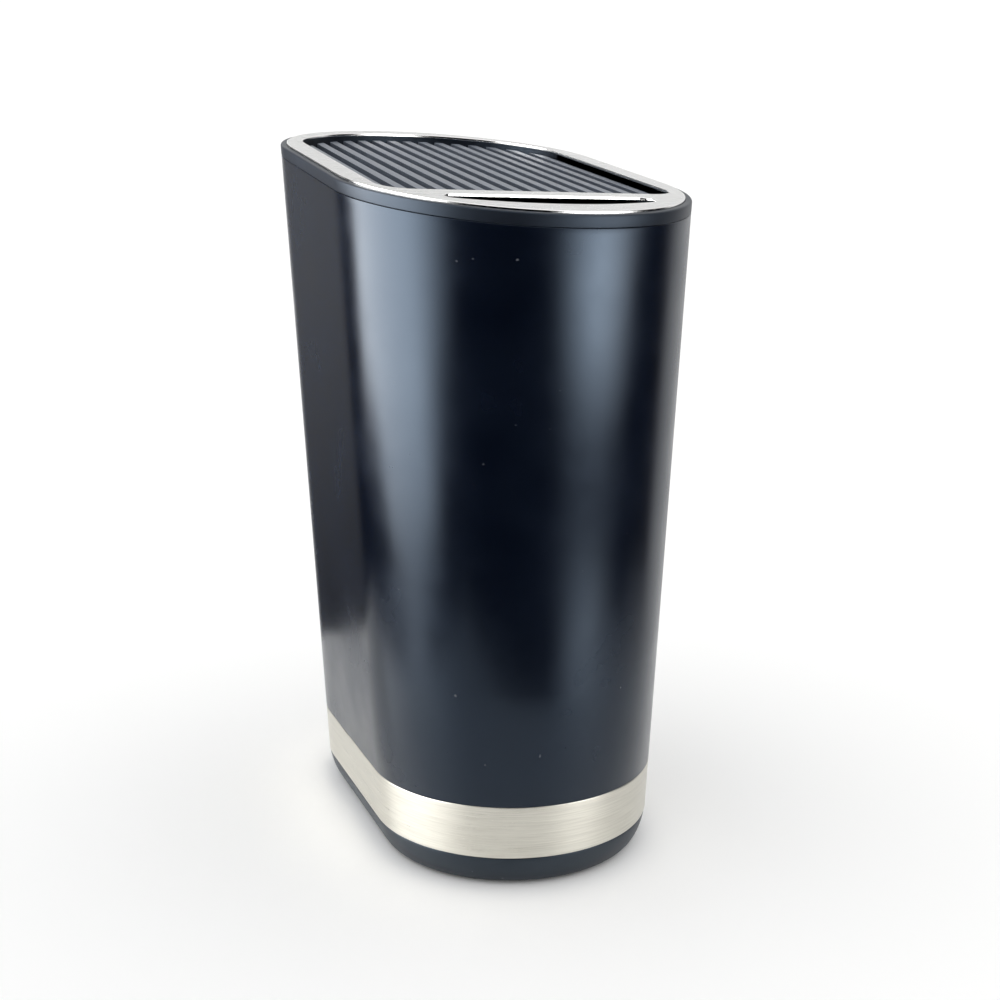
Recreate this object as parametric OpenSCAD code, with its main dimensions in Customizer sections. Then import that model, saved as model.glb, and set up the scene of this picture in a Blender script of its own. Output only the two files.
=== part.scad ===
// Oval knife block with a slatted insert.
// A drafted black shell stands on a tucked-in base and wears a brushed steel band near its foot.
// The top is cut on a slant that rises to the back and carries a black rim and a steel bezel.
// The bezel has a large knife opening and a curved scissors slot in front of it.
// Frame: millimetres, +Z up, -Y the rounded front, origin on the table below the middle.

/* [Body] */
// Width of the shell, measured where the slanted top crosses the body axis
top_w = 124.5; // [100:0.5:150]
// Distance from the body axis to the centre of each round end
end_y = 31.7; // [20:0.1:50]
// Height of the slanted top above the table, at the body axis
axis_h = 240.8; // [200:0.1:280]
// Draft of the outer wall, degrees
draft = 3; // [0:0.1:5]
// Slant of the top, degrees, rising to the back
slope = 12.2; // [0:0.1:20]
// Wall of the shell
wall = 2.8; // [2:0.1:4]
// Thickness of the shell floor
floor_t = 2.5; // [2:0.1:4]

/* [Base and band] */
// Gap between the table and the underside of the base
foot_gap = 0.8; // [0.4:0.1:2]
// Height of the band's lower edge above the table
base_h = 10.9; // [8:0.1:16]
// How far the base tucks in from its top to its underside
base_tuck = 4.4; // [2:0.1:8]
// Set-back of the base behind the band
base_inset = 0.2; // [0:0.1:2]
// Height of the steel band
band_h = 18.5; // [10:0.5:30]
// Thickness of the steel band
band_t = 0.8; // [0.5:0.1:1.5]

/* [Rim and bezel] */
// Height of the rim, measured straight up
rim_h = 4.7; // [3:0.1:8]
// Thickness of the bezel sheet, measured straight up
bezel_t = 1.1; // [0.8:0.1:2]
// Set-back of the bezel's outer edge from the shell
bezel_inset = 2.3; // [1:0.1:4]
// Half width of the knife opening
open_w = 52.1; // [40:0.1:56]
// Front edge of the knife opening
open_front = -56.1; // [-70:0.1:-40]
// Radius of the knife opening's front corners
open_corner = 10.4; // [2:0.1:14]
// Where the opening's straight sides end and its elliptical back end starts
open_side = 44.2; // [20:0.1:50]
// Length of the elliptical back end
open_depth = 39.9; // [30:0.1:55]

/* [Scissors pocket] */
// Straight back edge of the slot
slot_back = -63.5; // [-66:0.1:-58]
// Front-most point of the slot's curved edge
slot_front = -78.4; // [-80:0.1:-70]
// Radius of the slot's curved edge
slot_r = 86; // [60:1:120]
// Half length of the slot
slot_half = 36; // [30:0.5:38]
// Radius of the slot's rounded ends
slot_corner = 3.8; // [2:0.1:4]
// Height of the pocket's underside above the table
pocket_z = 130; // [125:1:180]
// Wall of the pocket
pocket_t = 1.4; // [1:0.1:2]

/* [Insert] */
// Number of slats, an odd number
slats = 15; // [9:2:19]
// Distance from slat to slat
pitch = 6.8; // [6:0.1:9]
// Thickness of one slat
slat_t = 3.4; // [2.5:0.1:4]
// Depth of the slat tops below the bezel's top face
recess = 2.6; // [1:0.1:8]
// Gap between the insert and the sides and back of the knife opening
insert_side = 2.2; // [1:0.1:5]
// Front ends of the slats
slat_front = -55.3; // [-60:0.1:-45]
// Position of the cross web that locks the slats
web_y = -2; // [-20:0.5:20]
// Thickness of the cross web
web_t = 2; // [1.5:0.1:3]
// Depth of the web's top below the slat tops
web_drop = 1.8; // [0:0.1:10]
// Height of the halving joints between web and slats
halving_z = 125; // [80:1:160]
// Thickness of the drip tray
tray_t = 4; // [3:0.5:6]

/* [Hidden] */
fine = 0.05;
gap = 0.3;
fn_round = 96;
half_top = top_w / 2;
lean = tan(draft);
rise = tan(slope);
band_z1 = base_h + band_h;
floor_z = base_h + floor_t;
tray_z = floor_z + gap;
tray_top = tray_z + tray_t;
groove = 1.5;
slat_z = tray_top - groove + fine;
insert_gap = 0.6;
slot_cy = slot_front + slot_r;
slot_end = slot_half - slot_corner;
slot_turn = acos(slot_end / (slot_r - slot_corner));
slot_low = slot_cy - (slot_r - slot_corner) * sin(slot_turn);
shoulder_drop = 0.35;
// the slant makes the back reach further than the front, so the body axis sits off the middle
back_y = (end_y + half_top - lean * shoulder_drop) / (1 - lean * rise);
front_y = (end_y + half_top - lean * shoulder_drop) / (1 + lean * rise);
axis_y = (front_y - back_y) / 2;
boss_x = 30;
boss_y = 44;
boss_r = 4;
pilot_r = 1.5;
screw_r = 1.45;
head_r = 3;
pad_r = 6;
pad_t = 1.5;
pad_x = 22;
pad_y = 58;
floor_in = 3;

function half_w(z) = half_top - lean * (axis_h - z);

// shared shapes

// moves the body axis so that the whole block is centred on the origin
module placed() {
    translate([0, axis_y, 0]) children();
}

// sweeps a wall section (x = distance from the middle plane, y = height) round the oval
module oval_wall(section) {
    for (m = [0, 1])
        mirror([0, m, 0]) translate([0, end_y, 0])
            rotate_extrude(angle = 180, $fn = fn_round) polygon(section);
    for (m = [0, 1])
        mirror([m, 0, 0]) translate([0, end_y, 0])
            rotate([90, 0, 0]) linear_extrude(2 * end_y) polygon(section);
}

// solid oval between two heights, inset from the outer surface of the shell
module oval_solid(z0, z1, inset) {
    r0 = half_w(z0) - inset;
    r1 = half_w(z1) - inset;
    for (m = [0, 1])
        mirror([0, m, 0]) translate([0, end_y, 0])
            rotate_extrude(angle = 180, $fn = fn_round)
                polygon([[0, z0], [r0, z0], [r1, z1], [0, z1]]);
    translate([0, end_y, 0]) rotate([90, 0, 0]) linear_extrude(2 * end_y)
        polygon([[-r0, z0], [r0, z0], [r1, z1], [-r1, z1]]);
}

// everything below the slanted plane, which crosses the body axis at axis_h + dz
module below(dz) {
    translate([0, 0, axis_h + dz]) rotate([slope, 0, 0])
        translate([-200, -300, -600]) cube([400, 600, 600]);
}

// slanted layer between two such planes
module layer(dz0, dz1) {
    translate([0, 0, axis_h + dz0]) rotate([slope, 0, 0])
        translate([-200, -300, 0]) cube([400, 600, (dz1 - dz0) * cos(slope)]);
}

// points along an arc from angle a0 to a1
function arc(cx, cy, r, a0, a1, n) =
    [for (i = [0:n]) [cx + r * cos(a0 + (a1 - a0) * i / n), cy + r * sin(a0 + (a1 - a0) * i / n)]];

// outline with straight sides, an elliptical back end and two rounded front corners
module opening_shape(w, front, corner, depth) {
    polygon(concat(
        [for (i = [0:60]) [w * cos(3 * i), open_side + depth * sin(3 * i)]],
        arc(corner - w, front + corner, corner, 180, 270, 10),
        arc(w - corner, front + corner, corner, 270, 360, 10)
    ));
}

// outline of the knife opening, grown by e
module opening_2d(e) {
    opening_shape(open_w + e, open_front - e, open_corner + e, open_depth + e);
}

// outline of the insert, clear of the knife opening all round
module insert_2d() {
    opening_shape(open_w - insert_side, slat_front, open_corner - 0.4, open_depth - insert_side);
}

// outline of the scissors slot, grown by e
module slot_2d(e) {
    c = slot_corner + e;
    back = slot_back - slot_corner;
    polygon(concat(
        arc(0, slot_cy, slot_r + e, -slot_turn, slot_turn - 180, 32),
        arc(-slot_end, slot_low, c, slot_turn - 180, -180, 8),
        arc(-slot_end, back, c, -180, -270, 8),
        arc(slot_end, back, c, 90, 0, 8),
        arc(slot_end, slot_low, c, 0, -slot_turn, 8)
    ));
}

module four(x, y) {
    for (sx = [-1, 1])
        for (sy = [-1, 1])
            translate([sx * x, sy * y, 0]) children();
}

// shell: a drafted bucket with a recess for the band and four screw bosses under its floor
module casing() {
    color([0.07, 0.08, 0.10]) placed() {
        intersection() {
            oval_wall([
                [half_w(base_h) - wall, base_h],
                [half_w(base_h) - band_t - 0.1, base_h],
                [half_w(band_z1) - band_t - 0.1, band_z1],
                [half_w(band_z1), band_z1],
                [half_w(300), 300],
                [half_w(300) - wall, 300]
            ]);
            below(-rim_h - fine);
        }
        difference() {
            union() {
                oval_solid(base_h, floor_z, wall - 0.2);
                four(boss_x, boss_y) translate([0, 0, foot_gap + floor_in + fine])
                    cylinder(h = base_h - foot_gap - floor_in, r = boss_r, $fn = 48);
            }
            four(boss_x, boss_y) translate([0, 0, -1])
                cylinder(h = base_h + 2.2, r = pilot_r, $fn = 48);
        }
    }
}

// brushed steel band in the shell's recess
module band() {
    color([0.78, 0.77, 0.72]) placed()
        oval_wall([
            [half_w(base_h) - band_t, base_h + fine],
            [half_w(base_h), base_h + fine],
            [half_w(band_z1), band_z1 - fine],
            [half_w(band_z1) - band_t, band_z1 - fine]
        ]);
}

// base: a shallow pan that tucks in towards the table, with four screw holes and four pad seats
module base() {
    r_top = half_w(base_h) - base_inset;
    r_low = r_top - base_tuck;
    tall = base_h - fine - foot_gap;
    edge = [for (a = [90:-15:0])
        [r_low + base_tuck * pow(cos(a), 4 / 3), base_h - fine - tall * pow(sin(a), 4 / 3)]];
    color([0.10, 0.11, 0.13]) placed()
        difference() {
            union() {
                oval_wall(concat(
                    [[r_low - 4, foot_gap]],
                    edge,
                    [[r_top - 2.5, base_h - fine],
                        [r_low - 0.5, foot_gap + floor_in],
                        [r_low - 4, foot_gap + floor_in]]
                ));
                base_floor(r_low - 3.9);
            }
            four(boss_x, boss_y) translate([0, 0, -1])
                cylinder(h = 8, r = screw_r + 0.25, $fn = 48);
            four(boss_x, boss_y) translate([0, 0, -1])
                cylinder(h = foot_gap + 2.6, r = head_r + 0.3, $fn = 48);
            four(pad_x, pad_y) translate([0, 0, -1])
                cylinder(h = 1 + pad_t + fine, r = pad_r + 0.1, $fn = 64);
        }
}

// flat middle of the base
module base_floor(r) {
    translate([0, 0, foot_gap]) {
        for (m = [0, 1])
            mirror([0, m, 0]) translate([0, end_y, 0])
                rotate_extrude(angle = 180, $fn = fn_round) square([r, floor_in]);
        translate([-r, -end_y, 0]) cube([2 * r, 2 * end_y, floor_in]);
    }
}

// four pan-head screws, driven up through the base into the shell's bosses
module base_screws() {
    color([0.6, 0.6, 0.62]) placed()
        four(boss_x, boss_y) {
            translate([0, 0, foot_gap + 0.2])
                cylinder(h = 1.35, r = head_r, $fn = 48);
            translate([0, 0, foot_gap + 1.5])
                cylinder(h = 9.5, r = screw_r, $fn = 48);
        }
}

// four rubber pads the block stands on
module feet() {
    color([0.05, 0.05, 0.05]) placed()
        four(pad_x, pad_y) cylinder(h = pad_t, r = pad_r, $fn = 64);
}

// black rim: the slanted top layer with both openings, a spigot into the shell and two collars
module rim() {
    color([0.07, 0.08, 0.10]) placed()
        difference() {
            union() {
                intersection() {
                    oval_solid(180, 290, 0);
                    layer(-rim_h, -bezel_t - fine);
                }
                intersection() {
                    oval_wall([
                        [half_w(180) - bezel_inset + 0.1, 180],
                        [half_w(180), 180],
                        [half_w(290), 290],
                        [half_w(290) - bezel_inset + 0.1, 290]
                    ]);
                    layer(-bezel_t - 0.5, -shoulder_drop);
                }
                intersection() {
                    oval_wall([
                        [half_w(180) - wall - 2.15, 180],
                        [half_w(180) - wall - 0.15, 180],
                        [half_w(290) - wall - 0.15, 290],
                        [half_w(290) - wall - 2.15, 290]
                    ]);
                    layer(-rim_h - 8, -rim_h + 0.5);
                }
                intersection() {
                    translate([0, 0, 150]) linear_extrude(150) opening_2d(1.2);
                    layer(-rim_h - 9, -rim_h + 0.5);
                }
                intersection() {
                    translate([0, 0, 150]) linear_extrude(150) slot_2d(1.2);
                    layer(-rim_h - 8, -rim_h + 0.5);
                }
            }
            translate([0, 0, 150]) linear_extrude(150) opening_2d(0);
            translate([0, 0, 150]) linear_extrude(150) slot_2d(0);
        }
}

// steel bezel: one flat sheet with the knife opening and the scissors slot
module bezel() {
    color([0.86, 0.86, 0.85]) placed()
        difference() {
            intersection() {
                oval_solid(180, 290, bezel_inset);
                layer(-bezel_t, 0);
            }
            translate([0, 0, 150]) linear_extrude(150) opening_2d(-0.1);
            translate([0, 0, 150]) linear_extrude(150) slot_2d(-0.1);
        }
}

// closed pocket for scissors, slipped over the rim's slot collar and drafted where it nears the shell
module scissors_pocket() {
    color([0.09, 0.10, 0.12]) placed()
        difference() {
            intersection() {
                translate([0, 0, pocket_z]) linear_extrude(130) slot_2d(1.3 + pocket_t);
                oval_solid(pocket_z, 290, wall + gap);
                below(-rim_h - fine);
            }
            intersection() {
                translate([0, 0, pocket_z + 2]) linear_extrude(150) slot_2d(1.3);
                oval_solid(pocket_z, 290, wall + gap + pocket_t);
            }
        }
}

// space the insert may fill: clear of the drafted shell and of the knife opening above it
module insert_space(z0, drop) {
    intersection() {
        oval_solid(z0, 290, wall + insert_gap);
        linear_extrude(290) insert_2d();
        below(-recess - drop);
    }
}

// drip tray under the slats, with one groove for each slat
module tray() {
    color([0.16, 0.18, 0.21]) placed()
        difference() {
            intersection() {
                insert_space(tray_z, 0);
                translate([-100, -150, 0]) cube([200, 300, tray_top]);
            }
            for (i = [0:slats - 1])
                translate([slat_x(i) - slat_t / 2 - fine, -150, tray_top - groove])
                    cube([slat_t + 2 * fine, 300, 10]);
        }
}

// cross web, notched from the top down to the halving joints
module cross_web() {
    color([0.20, 0.22, 0.25]) placed()
        difference() {
            intersection() {
                insert_space(tray_top + fine, web_drop);
                translate([-100, web_y - web_t / 2, 0]) cube([200, web_t, 300]);
            }
            for (i = [0:slats - 1])
                translate([slat_x(i) - slat_t / 2 - fine, web_y - 10, halving_z])
                    cube([slat_t + 2 * fine, 20, 200]);
        }
}

function slat_x(i) = (i - (slats - 1) / 2) * pitch;

// one slat, notched from below up to the halving joint
module slat(i) {
    color([0.42, 0.46, 0.51]) placed()
        difference() {
            intersection() {
                insert_space(slat_z, 0);
                translate([slat_x(i) - slat_t / 2, -150, 0]) cube([slat_t, 300, 300]);
            }
            translate([slat_x(i) - 10, web_y - web_t / 2 - fine, 0])
                cube([20, web_t + 2 * fine, halving_z + fine]);
        }
}

module slat_01() { slat(0); }
module slat_02() { slat(1); }
module slat_03() { slat(2); }
module slat_04() { slat(3); }
module slat_05() { slat(4); }
module slat_06() { slat(5); }
module slat_07() { slat(6); }
module slat_08() { slat(7); }
module slat_09() { slat(8); }
module slat_10() { slat(9); }
module slat_11() { slat(10); }
module slat_12() { slat(11); }
module slat_13() { slat(12); }
module slat_14() { slat(13); }
module slat_15() { slat(14); }

casing();
band();
base();
base_screws();
feet();
rim();
bezel();
scissors_pocket();
tray();
cross_web();
slat_01();
slat_02();
slat_03();
slat_04();
slat_05();
slat_06();
slat_07();
slat_08();
slat_09();
slat_10();
slat_11();
slat_12();
slat_13();
slat_14();
slat_15();
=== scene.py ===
"""Looks for the oval knife block: each visible piece is rebuilt or finished over the frame."""

import math

import bmesh
import bpy
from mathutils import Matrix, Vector


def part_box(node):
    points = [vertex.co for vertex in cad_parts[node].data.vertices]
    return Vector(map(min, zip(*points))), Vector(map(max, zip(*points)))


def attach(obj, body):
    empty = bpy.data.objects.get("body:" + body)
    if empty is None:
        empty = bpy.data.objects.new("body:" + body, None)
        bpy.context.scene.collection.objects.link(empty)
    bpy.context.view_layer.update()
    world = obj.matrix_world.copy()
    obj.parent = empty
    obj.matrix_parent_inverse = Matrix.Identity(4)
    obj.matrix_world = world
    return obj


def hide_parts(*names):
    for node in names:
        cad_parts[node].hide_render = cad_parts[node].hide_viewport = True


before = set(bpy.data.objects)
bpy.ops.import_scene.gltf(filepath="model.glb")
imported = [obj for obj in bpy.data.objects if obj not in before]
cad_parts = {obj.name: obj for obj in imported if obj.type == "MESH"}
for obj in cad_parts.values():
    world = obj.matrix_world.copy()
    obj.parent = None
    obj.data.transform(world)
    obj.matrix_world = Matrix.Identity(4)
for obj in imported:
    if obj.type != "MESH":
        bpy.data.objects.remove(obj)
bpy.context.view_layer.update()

MM = 0.001

# ---------------------------------------------------------------- sizes, worked out from the frame

LEAN = math.tan(math.radians(3.0))  # draft of the wall
SLOPE = math.radians(12.2)  # slant of the top
RISE = math.tan(SLOPE)

band_lo, band_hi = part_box("band")
_, bezel_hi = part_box("bezel")
base_lo, base_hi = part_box("base")

AXIS_Y = (band_lo.y + band_hi.y) / 2
END = (band_hi.y - band_lo.y) / 2 - band_hi.x  # from the body axis to each round end's centre
AXIS_H = bezel_hi.z - RISE * (bezel_hi.y - AXIS_Y)  # height of the slanted top at the body axis

WALL = 2.8 * MM  # shell wall
FLOOR_T = 2.5 * MM  # shell floor
RECESS = 0.9 * MM  # depth of the band's recess in the shell
BAND_T = 0.8 * MM
FIT = 0.05 * MM  # gap between parts that meet
MERGE = 0.002 * MM  # points closer than this are one
RIM_H = 4.7 * MM
SHOULDER = 0.7 * MM  # drop of the rim's shoulder below the bezel's top
BEZEL_T = 1.1 * MM
BEZEL_IN = 2.3 * MM  # set-back of the bezel from the outer surface
SPIGOT = 8 * MM  # how far the rim plugs into the shell

# Knife opening: half width, front edge, front corners, end of the straight sides, elliptical end
OPEN_W = 52.1 * MM
OPEN_FRONT = -56.1 * MM
OPEN_CORNER = 10.4 * MM
OPEN_SIDE = 44.2 * MM
OPEN_DEPTH = 39.9 * MM

# Scissors slot: back edge, middle of the arched front edge, its radius, half length, end corners
SLOT_BACK = -63.5 * MM
SLOT_FRONT = -78.4 * MM
SLOT_R = 86.0 * MM
SLOT_HALF = 36.0 * MM
SLOT_CORNER = 3.8 * MM
POCKET_T = 1.4 * MM

FOOT_GAP = base_lo.z
BASE_TUCK = 4.4 * MM  # how far the foot draws in from top to underside
BASE_IN = 0.2 * MM
TUCK_POWER = 4 / 3  # fullness of the foot's curve
SCREW_X, SCREW_Y = 30 * MM, 44 * MM  # screws from the body axis
HEAD_R, HEAD_TOP, SHANK_R = 3.3 * MM, 2.4 * MM, 1.75 * MM
PAD_X, PAD_Y = 22 * MM, 58 * MM  # rubber pads from the body axis
PAD_R, PAD_TOP = 6.1 * MM, 1.55 * MM


def half_w(z):
    """Half width of the outer surface at height z."""
    return band_hi.x + LEAN * (z - band_hi.z)


# ---------------------------------------------------------------- outlines


def oval_directions(per_end=72, per_side=14):
    """Points round the oval from the right of the front end: (centre y, outward x, outward y)."""
    out = []
    for i in range(per_end + 1):
        a = math.pi * i / per_end
        out.append((-END, math.cos(a), -math.sin(a)))
    for i in range(1, per_side):
        out.append((-END + 2 * END * i / per_side, -1.0, 0.0))
    for i in range(per_end + 1):
        a = math.pi + math.pi * i / per_end
        out.append((END, math.cos(a), -math.sin(a)))
    for i in range(1, per_side):
        out.append((END - 2 * END * i / per_side, 1.0, 0.0))
    return out


def level_ring(inset, z):
    """Oval at one height, inset from the outer surface."""
    r = half_w(z) - inset
    return [Vector((r * nx, AXIS_Y + c + r * ny, z)) for c, nx, ny in oval_directions()]


def slanted_ring(inset, dz):
    """Oval in the plane that crosses the body axis dz above the slanted top."""
    out = []
    for c, nx, ny in oval_directions():
        at_axis = AXIS_H + dz + RISE * c
        r = (half_w(at_axis) - inset) / (1 - LEAN * RISE * ny)
        out.append(Vector((r * nx, AXIS_Y + c + r * ny, at_axis + RISE * r * ny)))
    return out


def arc(cx, cy, r, a0, a1, n):
    """Points on a circle from angle a0 to a1, both included."""
    return [
        (cx + r * math.cos(a0 + (a1 - a0) * i / n), cy + r * math.sin(a0 + (a1 - a0) * i / n))
        for i in range(n + 1)
    ]


def opening_outline(e=0.0):
    """Plan of the knife opening, grown by e."""
    w, c, cy = OPEN_W + e, OPEN_CORNER + e, OPEN_FRONT + OPEN_CORNER
    turns = [math.pi * i / 120 for i in range(121)]
    back = [(w * math.cos(a), OPEN_SIDE + (OPEN_DEPTH + e) * math.sin(a)) for a in turns]
    left = [(-w, OPEN_SIDE + (cy - OPEN_SIDE) * i / 30) for i in range(1, 30)]
    right = [(-x, y) for x, y in reversed(left)]
    return clean(
        back
        + left
        + arc(c - w, cy, c, math.pi, 1.5 * math.pi, 16)
        + arc(w - c, cy, c, 1.5 * math.pi, 2 * math.pi, 16)
        + right
    )


def slot_outline(e=0.0):
    """Plan of the curved scissors slot, grown by e."""
    centre = SLOT_FRONT + SLOT_R
    back = SLOT_BACK - SLOT_CORNER
    end = SLOT_HALF - SLOT_CORNER
    turn = math.acos(end / (SLOT_R - SLOT_CORNER))
    low = centre - (SLOT_R - SLOT_CORNER) * math.sin(turn)
    r, c = SLOT_R + e, SLOT_CORNER + e
    return clean(
        arc(0, centre, r, -turn, turn - math.pi, 72)
        + arc(-end, low, c, turn - math.pi, -math.pi, 12)
        + arc(-end, back, c, -math.pi, -1.5 * math.pi, 12)
        + arc(end, back, c, 0.5 * math.pi, 0, 12)
        + arc(end, low, c, 0, -turn, 12)
    )


def clean(points):
    """Drops points that repeat the one before."""
    same = 0.02 * MM
    kept = []
    for p in points:
        if not kept or math.dist(p, kept[-1]) > same:
            kept.append(p)
    if math.dist(kept[0], kept[-1]) < same:
        kept.pop()
    return kept


def on_plane(points, dz):
    """An outline in the plane that crosses the body axis dz above the slanted top."""
    return [Vector((x, AXIS_Y + y, AXIS_H + dz + RISE * y)) for x, y in points]


# ---------------------------------------------------------------- mesh helpers


def loft(bm, rings, closed_section=False):
    """Quads between one ring and the next. Returns the vertex rings."""
    rows = [[bm.verts.new(p) for p in ring] for ring in rings]
    pairs = list(zip(rows, rows[1:]))
    if closed_section:
        pairs.append((rows[-1], rows[0]))
    for a, b in pairs:
        n = len(a)
        for i in range(n):
            j = (i + 1) % n
            bm.faces.new((a[i], a[j], b[j], b[i]))
    return rows


def edge_arc(inner, corner, outer, n=5):
    """A rounded corner in a wall section: points from inner to outer that stay inside corner."""
    out = []
    for i in range(n + 1):
        t = math.pi / 2 * i / n
        away, towards = 1 - math.sin(t), 1 - math.cos(t)
        ends = zip(inner, corner, outer)
        out.append(tuple(c + (a - c) * away + (b - c) * towards for a, c, b in ends))
    return out


def piece(name, bm, body, materials, node=None, smooth=35.0):
    """Turns a bmesh into a finished piece that rides on a body and may replace a CAD node."""
    bmesh.ops.remove_doubles(bm, verts=bm.verts, dist=MERGE)
    bmesh.ops.recalc_face_normals(bm, faces=bm.faces)
    mesh = bpy.data.meshes.new(name)
    bm.to_mesh(mesh)
    bm.free()
    for m in materials:
        mesh.materials.append(m)
    obj = bpy.data.objects.new(name, mesh)
    bpy.context.scene.collection.objects.link(obj)
    for p in mesh.polygons:
        p.use_smooth = True
    mesh.set_sharp_from_angle(angle=math.radians(smooth))
    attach(obj, body)
    if node:
        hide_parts(node)
    return obj


def fill(bm, rows):
    """Closes the flat region between an outer vertex ring and the holes in it."""
    edges = []
    for row in rows:
        for i, v in enumerate(row):
            edges.append(bm.edges.get((v, row[(i + 1) % len(row)])))
    return bmesh.ops.triangle_fill(bm, use_beauty=True, use_dissolve=False, edges=edges)


def plate(bm, outer, holes, section):
    """A plate in the slanted plane. Its section is (step into the metal, height), bottom up."""
    edges = [[slanted_ring(outer + e, dz) for e, dz in section]]
    edges += [[on_plane(hole(e), dz) for e, dz in section] for hole in holes]
    rows = [loft(bm, rings) for rings in edges]
    fill(bm, [r[0] for r in rows])
    fill(bm, [r[-1] for r in rows])


# ---------------------------------------------------------------- materials


def material(name, **sockets):
    """A new Principled material with the given socket values."""
    m = bpy.data.materials.new(name)
    m.use_nodes = True
    shader = m.node_tree.nodes["Principled BSDF"]
    for key, value in sockets.items():
        shader.inputs[key].default_value = value
    return m, m.node_tree, shader


def node(tree, kind, **values):
    """A new shader node. Values go to its sockets, or else to its settings."""
    n = tree.nodes.new(kind)
    for key, value in values.items():
        if key in n.inputs:
            n.inputs[key].default_value = value
        else:
            setattr(n, key, value)
    return n


def noise(tree, scale, detail=3.0, rough=0.5, stretch=(1, 1, 1)):
    """Noise on the piece's own coordinates, in repeats per metre, stretched per axis."""
    coords = node(tree, "ShaderNodeTexCoord")
    mapping = node(tree, "ShaderNodeMapping")
    mapping.inputs["Scale"].default_value = stretch
    tree.links.new(coords.outputs["Object"], mapping.inputs["Vector"])
    n = node(tree, "ShaderNodeTexNoise", Scale=scale, Detail=detail, Roughness=rough)
    tree.links.new(mapping.outputs["Vector"], n.inputs["Vector"])
    return n.outputs["Fac"]


def spread(tree, value, low, high, start=0.35, end=0.65):
    """Maps a noise value to a range."""
    n = node(tree, "ShaderNodeMapRange")
    n.inputs["From Min"].default_value = start
    n.inputs["From Max"].default_value = end
    n.inputs["To Min"].default_value = low
    n.inputs["To Max"].default_value = high
    tree.links.new(value, n.inputs["Value"])
    return n.outputs["Result"]


def tint(tree, value, dark, light, start=0.35, end=0.65):
    """Maps a noise value to a colour between two."""
    ramp = node(tree, "ShaderNodeValToRGB")
    ramp.color_ramp.elements[0].position = start
    ramp.color_ramp.elements[0].color = (*dark, 1)
    ramp.color_ramp.elements[1].position = end
    ramp.color_ramp.elements[1].color = (*light, 1)
    tree.links.new(value, ramp.inputs["Fac"])
    return ramp.outputs["Color"]


def add_bump(tree, shader, *layers):
    """Stacks bump layers, each (height socket, strength, distance in metres)."""
    last = None
    for height, strength, distance in layers:
        b = node(tree, "ShaderNodeBump", Strength=strength, Distance=distance)
        tree.links.new(height, b.inputs["Height"])
        if last:
            tree.links.new(last, b.inputs["Normal"])
        last = b.outputs["Normal"]
    tree.links.new(last, shader.inputs["Normal"])


def soft_black(name, dark, light, rough, bump=0.25):
    """Plastic with a soft satin coating: fine texture, uneven sheen and a few dust specks."""
    m, tree, shader = material(name, **{"Specular Tint": (0.62, 0.79, 1.0, 1)})
    cloud = noise(tree, 38, 4)
    grain = noise(tree, 2600, 2, 0.6)
    specks = noise(tree, 640, 1.0, 0.3)
    base = tint(tree, cloud, dark, light)
    mix = node(tree, "ShaderNodeMix", data_type="RGBA")
    tree.links.new(spread(tree, specks, 0, 0.22, 0.81, 0.84), mix.inputs["Factor"])
    plain, dust, mixed = mix.inputs[6], mix.inputs[7], mix.outputs[2]  # the colour sockets
    tree.links.new(base, plain)
    dust.default_value = (0.35, 0.36, 0.38, 1)
    tree.links.new(mixed, shader.inputs["Base Color"])
    tree.links.new(spread(tree, cloud, rough - 0.035, rough + 0.035), shader.inputs["Roughness"])
    add_bump(tree, shader, (grain, bump, 0.04 * MM))
    return m


def brushed_steel(name, dark, light, rough, stretch, scale, bump):
    """Steel with fine parallel brushing, drawn out along the axes with a small stretch."""
    m, tree, shader = material(name, Metallic=1.0)
    lines = noise(tree, scale, 3, 0.7, stretch)
    wide = noise(tree, 24, 3)
    tree.links.new(tint(tree, lines, dark, light, 0.3, 0.7), shader.inputs["Base Color"])
    mix = node(tree, "ShaderNodeMath", operation="ADD")
    tree.links.new(spread(tree, lines, rough - 0.06, rough + 0.06), mix.inputs[0])
    tree.links.new(spread(tree, wide, -0.02, 0.02), mix.inputs[1])
    tree.links.new(mix.outputs["Value"], shader.inputs["Roughness"])
    add_bump(tree, shader, (lines, bump, 0.02 * MM))
    return m


def polished_steel(name, color, rough):
    """Smooth steel with slightly uneven gloss."""
    m, tree, shader = material(name, Metallic=1.0)
    wide = noise(tree, 60, 3)
    fine = noise(tree, 900, 2)
    tree.links.new(tint(tree, wide, [c * 0.94 for c in color], color), shader.inputs["Base Color"])
    tree.links.new(spread(tree, fine, rough - 0.03, rough + 0.05), shader.inputs["Roughness"])
    add_bump(tree, shader, (fine, 0.06, 0.01 * MM))
    return m


def rubber(name, dark, light):
    """Dull rubber with a fine grain."""
    m, tree, shader = material(name)
    grain = noise(tree, 1800, 3, 0.6)
    tree.links.new(tint(tree, grain, dark, light), shader.inputs["Base Color"])
    tree.links.new(spread(tree, grain, 0.65, 0.85), shader.inputs["Roughness"])
    add_bump(tree, shader, (grain, 0.4, 0.05 * MM))
    return m


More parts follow.
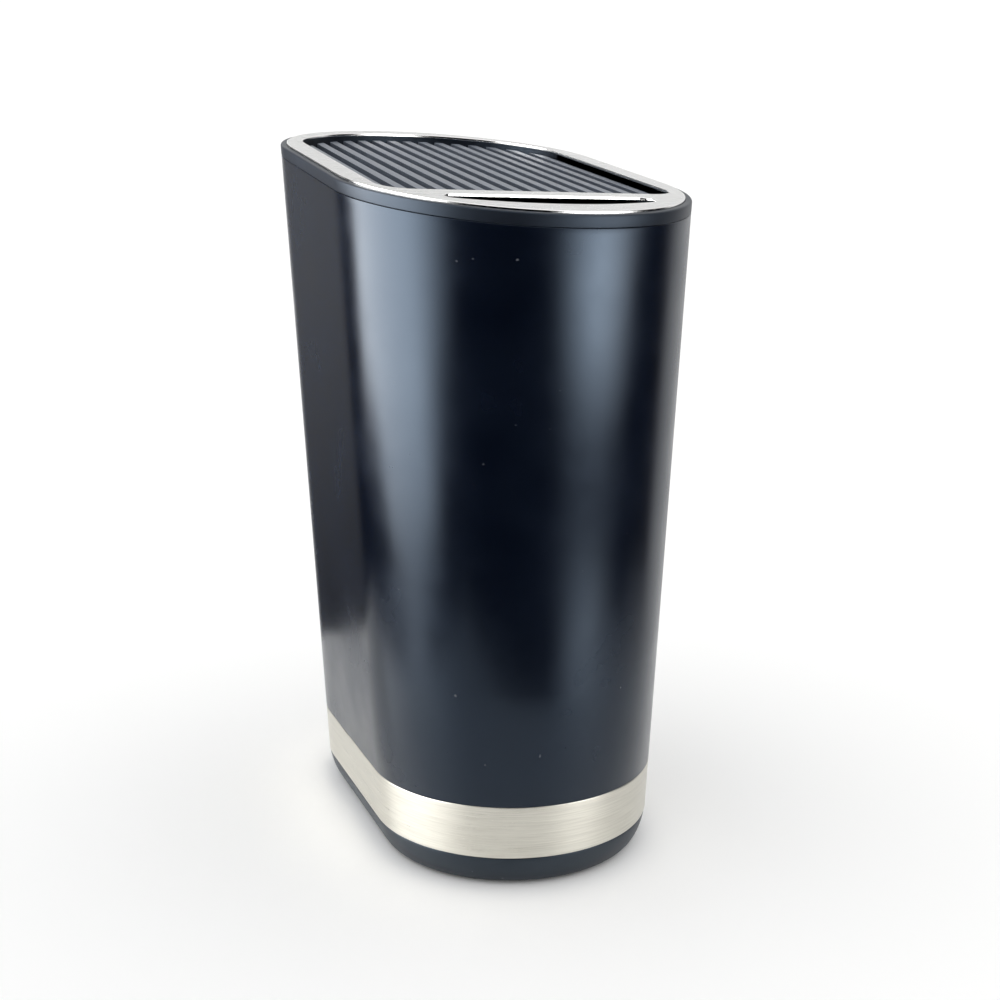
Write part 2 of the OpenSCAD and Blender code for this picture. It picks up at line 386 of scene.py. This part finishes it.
shell_mat = soft_black("shell_coating", (0.0006, 0.0016, 0.0056), (0.0010, 0.0024, 0.0076), 0.24)
rim_mat = soft_black("rim_plastic", (0.0022, 0.0028, 0.0055), (0.0036, 0.0044, 0.0080), 0.42, 0.35)
base_mat = soft_black("base_plastic", (0.010, 0.012, 0.015), (0.015, 0.018, 0.022), 0.42)
pocket_mat = soft_black("pocket_plastic", (0.004, 0.005, 0.008), (0.006, 0.007, 0.011), 0.45)
# The slats take a lighter copy of the insert's plastic: its grey is painted highlight for the
# light their tops catch.
slat_highlight_mat = soft_black("slat_plastic_painted_highlight", (0.080, 0.092, 0.115), (0.100, 0.114, 0.140), 0.36, 0.3)
web_mat = soft_black("web_plastic", (0.030, 0.035, 0.045), (0.040, 0.046, 0.058), 0.5, 0.3)
band_mat = brushed_steel(
    "band_steel", (0.55, 0.53, 0.47), (0.71, 0.69, 0.62), 0.34, (0.02, 0.02, 1.0), 2600, 0.25
)
bezel_mat = brushed_steel(
    "bezel_steel", (0.66, 0.66, 0.65), (0.74, 0.74, 0.73), 0.30, (0.03, 1.0, 1.0), 2200, 0.10
)
edge_mat = polished_steel("bezel_edge", (0.88, 0.88, 0.87), 0.14)
screw_mat = polished_steel("screw_steel", (0.60, 0.60, 0.61), 0.30)
foot_mat = rubber("foot_rubber", (0.010, 0.010, 0.011), (0.022, 0.022, 0.024))

# ---------------------------------------------------------------- pieces

BODY = "block"


def build_casing():
    """The shell: outer wall with the band's recess, rounded top edge, inside wall and floor."""
    seam = -RIM_H - FIT
    lip = 0.35 * MM
    under = band_lo.z - FIT
    ledge = band_hi.z + FIT
    inner_floor = band_lo.z + FLOOR_T
    course = 40 * MM
    deep = seam - 60 * MM
    rings = [
        level_ring(WALL, under),
        level_ring(RECESS, under),
        level_ring(RECESS, ledge),
        level_ring(0.25 * MM, ledge),
        level_ring(0.07 * MM, band_hi.z + 0.12 * MM),
        level_ring(0, band_hi.z + 0.3 * MM),
        level_ring(0, band_hi.z + course),
        level_ring(0, band_hi.z + 2 * course),
        slanted_ring(0, deep),
        slanted_ring(0, seam - 2 * MM),
    ]
    for inset, dz in edge_arc((0, seam - lip), (0, seam), (lip, seam)):
        rings.append(slanted_ring(inset, dz))
    for inset, dz in edge_arc((WALL - lip, seam), (WALL, seam), (WALL, seam - lip)):
        rings.append(slanted_ring(inset, dz))
    rings += [slanted_ring(WALL, deep), level_ring(WALL, inner_floor)]
    bm = bmesh.new()
    rows = loft(bm, rings)
    bm.faces.new(rows[-1])
    bm.faces.new(list(reversed(rows[0])))
    return piece("shell", bm, BODY, [shell_mat], "casing")


def build_band():
    """The steel band: a closed strip section with rounded edges, swept round the oval."""
    lo, hi = band_lo.z, band_hi.z
    t = BAND_T
    r = 0.22 * MM
    section = (
        edge_arc((t - r, lo), (t, lo), (t, lo + r), 3)
        + edge_arc((t, hi - r), (t, hi), (t - r, hi), 3)
        + edge_arc((r, hi), (0, hi), (0, hi - r), 4)
        + [(0, hi - 1 * MM), (0, lo + 1 * MM)]
        + edge_arc((0, lo + r), (0, lo), (r, lo), 4)
    )
    bm = bmesh.new()
    loft(bm, [level_ring(inset, z) for inset, z in section], closed_section=True)
    return piece("steel_band", bm, BODY, [band_mat], "band")


def build_base():
    """The tucked-in foot: a bowl-like wall that curves in to a flat underside.

    The underside has a sunk seat for each rubber pad and a counterbored hole for each screw.
    """
    top = base_hi.z
    tall = top - FOOT_GAP
    lip = 0.3 * MM
    r_top = half_w(top) - BASE_IN
    steps, first = 24, 3
    rings = [(r_top - 3 * MM, top)]
    rings += edge_arc((r_top - lip, top), (r_top, top), (r_top, top - lip), 3)
    for i in range(first, steps + 1):
        a = math.pi / 2 * i / steps
        r = r_top - BASE_TUCK * (1 - max(math.cos(a), 0) ** TUCK_POWER)
        rings.append((r, top - tall * math.sin(a) ** TUCK_POWER))
    rings = [(half_w(z) - r, z) for r, z in rings]
    bm = bmesh.new()
    rows = loft(bm, [level_ring(inset, z) for inset, z in rings])
    upper, lower = [rows[0]], [rows[-1]]
    for sx in (-1, 1):
        for sy in (-1, 1):
            x, y = sx * SCREW_X, AXIS_Y + sy * SCREW_Y
            bore = ((HEAD_R, FOOT_GAP), (HEAD_R, HEAD_TOP), (SHANK_R, HEAD_TOP), (SHANK_R, top))
            hole = loft(bm, [circle(x, y, r, z) for r, z in bore])
            lower.append(hole[0])
            upper.append(hole[-1])
            x, y = sx * PAD_X, AXIS_Y + sy * PAD_Y
            seat = loft(bm, [circle(x, y, PAD_R, z) for z in (FOOT_GAP, PAD_TOP)])
            lower.append(seat[0])
            fill(bm, [seat[-1]])
    fill(bm, upper)
    fill(bm, lower)
    return piece("foot", bm, BODY, [base_mat], "base")


def circle(x, y, r, z, n=32):
    """A level circle of n points."""
    turns = [2 * math.pi * i / n for i in range(n)]
    return [Vector((x + r * math.cos(a), y + r * math.sin(a), z)) for a in turns]


def build_bezel():
    """The steel plate: brushed faces, and polished rounded edges round it and both openings."""
    r = 0.35 * MM
    r_low = 0.1 * MM
    section = edge_arc((r_low, -BEZEL_T), (0, -BEZEL_T), (0, r_low - BEZEL_T), 2)
    section += edge_arc((0, -r), (0, 0), (r, 0), 5)
    bm = bmesh.new()
    plate(bm, BEZEL_IN, (opening_outline, slot_outline), section)
    up = Vector((0, -math.sin(SLOPE), math.cos(SLOPE)))
    bm.normal_update()
    for f in bm.faces:
        f.material_index = 0 if abs(f.normal.dot(up)) > 0.995 else 1
    mats = [bezel_mat, edge_mat]
    return piece("steel_bezel", bm, BODY, mats, "bezel", smooth=50)


def build_rim():
    """Black top ring: rounded outer wall, narrow shoulder, bezel seat, spigot and both collars."""
    seam = -RIM_H
    lip = 0.3 * MM
    round_top = 0.7 * MM
    seat = -BEZEL_T - FIT
    seat_low = seat - 2 * MM
    step = BEZEL_IN - 0.1 * MM
    bevel = 0.15 * MM
    collar = 1.2 * MM
    bm = bmesh.new()
    plug = WALL + 0.2 * MM
    inside = WALL + 2.15 * MM
    rings = [
        slanted_ring(inside, seat_low),
        slanted_ring(inside, seam - SPIGOT),
        slanted_ring(plug, seam - SPIGOT),
        slanted_ring(plug, seam),
    ]
    for inset, dz in edge_arc((lip, seam), (0, seam), (0, seam + lip), 4):
        rings.append(slanted_ring(inset, dz))
    top = -SHOULDER
    for inset, dz in edge_arc((0, top - round_top), (0, top), (round_top, top), 6):
        rings.append(slanted_ring(inset, dz))
    for inset, dz in edge_arc((step - bevel, top), (step, top), (step, top - bevel), 3):
        rings.append(slanted_ring(inset, dz))
    rings.append(slanted_ring(step, seat))
    loft(bm, rings)
    for outline, depth in ((opening_outline, 9 * MM), (slot_outline, 8 * MM)):
        inner, outer = outline(0), outline(collar)
        section = ((inner, seat), (inner, seam - depth), (outer, seam - depth), (outer, seam))
        loft(bm, [on_plane(points, dz) for points, dz in section])
    plate(bm, step, (opening_outline, slot_outline), [(0, seat_low), (0, seat)])
    return piece("top_rim", bm, BODY, [rim_mat], "rim")


def clipped(points, z, inset):
    """The outline at height z, kept inside the drafted shell."""
    limit = half_w(z) - inset
    out = []
    for x, y in points:
        away = Vector((x, y + END))
        if away.y < 0 and away.length > limit:
            away *= limit / away.length
        out.append(Vector((away.x, AXIS_Y + away.y - END, z)))
    return out


def build_pocket():
    """Closed cup under the scissors slot, drafted in where it nears the shell."""
    lo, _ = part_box("scissors_pocket")
    top = -RIM_H - FIT
    outer, inner = slot_outline(1.3 * MM + POCKET_T), slot_outline(1.3 * MM)
    straight = 165 * MM  # the walls run straight up from here
    gap = WALL + 0.35 * MM
    heights = [lo.z + (straight - lo.z) * i / 6 for i in range(7)]
    rings = [clipped(outer, z, gap) for z in heights]
    rings += [on_plane(outer, top), on_plane(inner, top)]
    heights[0] += 2 * MM
    rings += [clipped(inner, z, gap + POCKET_T) for z in reversed(heights)]
    bm = bmesh.new()
    rows = loft(bm, rings)
    fill(bm, [rows[-1]])
    fill(bm, [rows[0]])
    return piece("pocket", bm, BODY, [pocket_mat], "scissors_pocket")


def finish_node(name, mat, width, segments=3):
    """A carried-over CAD node gets softened edges and its material."""
    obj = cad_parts[name]
    obj.data.materials.clear()
    obj.data.materials.append(mat)
    bevel = obj.modifiers.new("edges", "BEVEL")
    bevel.width = width
    bevel.segments = segments
    bevel.limit_method = "ANGLE"
    bevel.angle_limit = math.radians(40)
    bevel.harden_normals = False
    return obj


build_casing()
build_band()
build_base()
build_rim()
build_bezel()
build_pocket()
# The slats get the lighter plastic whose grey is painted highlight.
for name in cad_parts:
    if name.startswith("slat_"):
        finish_node(name, slat_highlight_mat, 0.5 * MM)
finish_node("cross_web", web_mat, 0.3 * MM, 2)
finish_node("tray", web_mat, 0.3 * MM, 2)
finish_node("feet", foot_mat, 0.3 * MM)
finish_node("base_screws", screw_mat, 0.15 * MM, 2)

# ---------------------------------------------------------------- stage, lights and camera


PAPER = (0.95, 0.95, 0.945, 1)
matt = {"Roughness": 0.9, "Base Color": PAPER, "Specular IOR Level": 0.0}
floor_mat = material("floor_paper", **matt)[0]
table_mat = material("table_gloss", **{"Roughness": 0.3, "Base Color": PAPER})[0]


def sweep(name, half_width, front, back, radius, top, z):
    """Paper sweep: a floor that curves up into a wall."""
    steps = 24
    profile = [(front, z), (back - radius, z)]
    for i in range(1, steps + 1):
        a = math.pi / 2 * i / steps
        profile.append((back - radius + radius * math.sin(a), z + radius - radius * math.cos(a)))
    profile.append((back, top))
    bm = bmesh.new()
    sides = (-half_width, half_width)
    rows = [[bm.verts.new((x, y, h)) for y, h in profile] for x in sides]
    for i in range(len(profile) - 1):
        bm.faces.new((rows[0][i], rows[1][i], rows[1][i + 1], rows[0][i + 1]))
    mesh = bpy.data.meshes.new(name)
    bm.to_mesh(mesh)
    bm.free()
    for p in mesh.polygons:
        p.use_smooth = True
    mesh.materials.append(floor_mat)
    obj = bpy.data.objects.new(name, mesh)
    bpy.context.scene.collection.objects.link(obj)
    return obj


paper = sweep("floor_sweep", 5.0, -3.0, 4.0, 1.6, 4.0, -0.0004)
paper.visible_glossy = False

# The patch of glossy table that the shell mirrors. The camera sees only the paper.
bpy.ops.mesh.primitive_plane_add(size=1, location=(0, 0, 0))
table = bpy.context.object
table.name = "floor_near"
table.scale = (0.46, 0.43, 1)
table.data.materials.append(table_mat)
table.visible_camera = False
table.visible_diffuse = False
table.visible_shadow = False


def glow(name, radiance, soft):
    """Emission of a soft panel: full in the middle, fading smoothly to its edges."""
    m = bpy.data.materials.new(name)
    m.use_nodes = True
    m.cycles.emission_sampling = "NONE"
    tree = m.node_tree
    tree.nodes.clear()
    uv = node(tree, "ShaderNodeUVMap", uv_map="panel")
    split = node(tree, "ShaderNodeSeparateXYZ")
    tree.links.new(uv.outputs["UV"], split.inputs[0])
    factors = []
    across = (("X", 0.0, soft[0]), ("X", 1.0, 1.0 - soft[1]))
    up = (("Y", 0.0, soft[2]), ("Y", 1.0, 1.0 - soft[3]))
    for axis, start, end in across + up:
        fade = node(tree, "ShaderNodeMapRange", interpolation_type="SMOOTHSTEP")
        fade.inputs["From Min"].default_value = start
        fade.inputs["From Max"].default_value = end
        tree.links.new(split.outputs[axis], fade.inputs["Value"])
        factors.append(fade.outputs["Result"])
    total = factors[0]
    for f in factors[1:]:
        times = node(tree, "ShaderNodeMath", operation="MULTIPLY")
        tree.links.new(total, times.inputs[0])
        tree.links.new(f, times.inputs[1])
        total = times.outputs[0]
    strength = node(tree, "ShaderNodeMath", operation="MULTIPLY")
    strength.inputs[1].default_value = radiance
    tree.links.new(total, strength.inputs[0])
    emit = node(tree, "ShaderNodeEmission")
    tree.links.new(strength.outputs[0], emit.inputs["Strength"])
    both = node(tree, "ShaderNodeAddShader")
    tree.links.new(emit.outputs[0], both.inputs[0])
    tree.links.new(node(tree, "ShaderNodeBsdfTransparent").outputs[0], both.inputs[1])
    out = node(tree, "ShaderNodeOutputMaterial")
    tree.links.new(both.outputs[0], out.inputs["Surface"])
    return m


def panel(name, turn, height, radiance, soft, reach, lean=0.0):
    """A curved soft panel round the block, seen only in reflections.

    Turn is its range in degrees, from the front towards the left. Lean is how many degrees
    less it covers at its lower edge. Soft is the faded part at its start, end, foot and top.
    """
    bm = bmesh.new()
    layer = bm.loops.layers.uv.new("panel")
    columns, rows = 12, 6
    grid = []
    for i in range(columns + 1):
        line = []
        for j in range(rows + 1):
            end = turn[1] - lean * (1 - j / rows)
            a = math.radians(turn[0] + (end - turn[0]) * i / columns)
            z = height[0] + (height[1] - height[0]) * j / rows
            line.append(bm.verts.new((-math.sin(a) * reach, -math.cos(a) * reach, z)))
        grid.append(line)
    for i in range(columns):
        for j in range(rows):
            face = bm.faces.new((grid[i][j], grid[i + 1][j], grid[i + 1][j + 1], grid[i][j + 1]))
            corners = ((i, j), (i + 1, j), (i + 1, j + 1), (i, j + 1))
            for loop, (u, v) in zip(face.loops, corners):
                loop[layer].uv = (u / columns, v / rows)
    return light_sheet(name, bm, glow(name, radiance, soft))


def light_sheet(name, bm, mat):
    """Turns a bmesh into a glowing sheet that only gloss sees."""
    mesh = bpy.data.meshes.new(name)
    bm.to_mesh(mesh)
    bm.free()
    mesh.materials.append(mat)
    obj = bpy.data.objects.new(name, mesh)
    bpy.context.scene.collection.objects.link(obj)
    obj.visible_camera = False
    obj.visible_diffuse = False
    obj.visible_transmission = False
    obj.visible_shadow = False
    return obj


def ceiling(name, size, height, radiance):
    """A level square panel over the block."""
    bm = bmesh.new()
    layer = bm.loops.layers.uv.new("panel")
    corners = ((-1, -1), (-1, 1), (1, 1), (1, -1))
    face = bm.faces.new([bm.verts.new((x * size / 2, y * size / 2, height)) for x, y in corners])
    for loop, (x, y) in zip(face.loops, corners):
        loop[layer].uv = ((x + 1) / 2, (y + 1) / 2)
    return light_sheet(name, bm, glow(name, radiance, (0.3, 0.3, 0.3, 0.3)))


# Light panels: name, turn, height, radiance, soft edges, lean. They get dimmer towards the table.
PANELS = (
    ("window_high", (50, 132), (0.02, 1.0), 8.8, (0.42, 0.12, 0.12, 0.1), 0),
    ("window_mid", (60, 130), (-0.1, 0.14), 7.0, (0.34, 0.16, 0.45, 0.45), 24),
    ("window_low", (74, 106), (-0.25, 0.0), 1.6, (0.4, 0.3, 0.45, 0.45), 8),
    ("window_foot", (60, 128), (-0.44, -0.13), 4.0, (0.5, 0.4, 0.4, 0.4), 0),
    ("corner_high", (-66, -4), (0.12, 1.0), 4.2, (0.5, 0.5, 0.1, 0.2), 0),
    ("corner_mid", (-60, -2), (0.02, 0.26), 9.5, (0.5, 0.5, 0.44, 0.45), 0),
    ("corner_low", (-58, -6), (-0.32, -0.02), 3.0, (0.5, 0.5, 0.3, 0.4), 0),
    ("corner_foot", (-70, -4), (-0.46, -0.16), 3.4, (0.5, 0.5, 0.4, 0.4), 0),
    ("corner_edge", (-98, -62), (-0.45, -0.04), 0.9, (0.3, 0.3, 0.1, 0.4), 0),
    ("surround", (-190, -84), (-0.45, 1.05), 0.86, (0.08, 0.15, 0.1, 0.3), 0),
    ("back_left", (146, 186), (-0.3, 0.95), 0.3, (0.2, 0.1, 0.55, 0.1), 0),
)
RING = 0.62  # radius of the first panel
RING_STEP = 3 * MM
for i, (name, turn, height, radiance, soft, lean) in enumerate(PANELS):
    panel(name, turn, height, radiance, soft, RING + i * RING_STEP, lean)
ceiling("overhead", 2.4, 1.1, 1.2)

world = bpy.data.worlds.new("studio")
bpy.context.scene.world = world
world.use_nodes = True
world.node_tree.nodes["Background"].inputs["Color"].default_value = (1, 1, 1, 1)
world.node_tree.nodes["Background"].inputs["Strength"].default_value = 1.15
world.cycles_visibility.glossy = False  # gloss sees only the panels and the table
bpy.context.scene.view_settings.view_transform = "Standard"

LOOK_DOWN = math.radians(10.625)  # the camera's tilt below level
LOOK_RIGHT = math.radians(21.934)  # its turn from straight on towards the right

camera_data = bpy.data.cameras.new("camera")
camera_data.sensor_width = 36
camera_data.lens = 45.58
camera = bpy.data.objects.new("camera", camera_data)
camera.location = (-0.16834, AXIS_Y - 0.44089, AXIS_H - 0.03470)
camera.rotation_euler = (math.pi / 2 - LOOK_DOWN, 0, -LOOK_RIGHT)
bpy.context.scene.collection.objects.link(camera)
bpy.context.scene.camera = camera
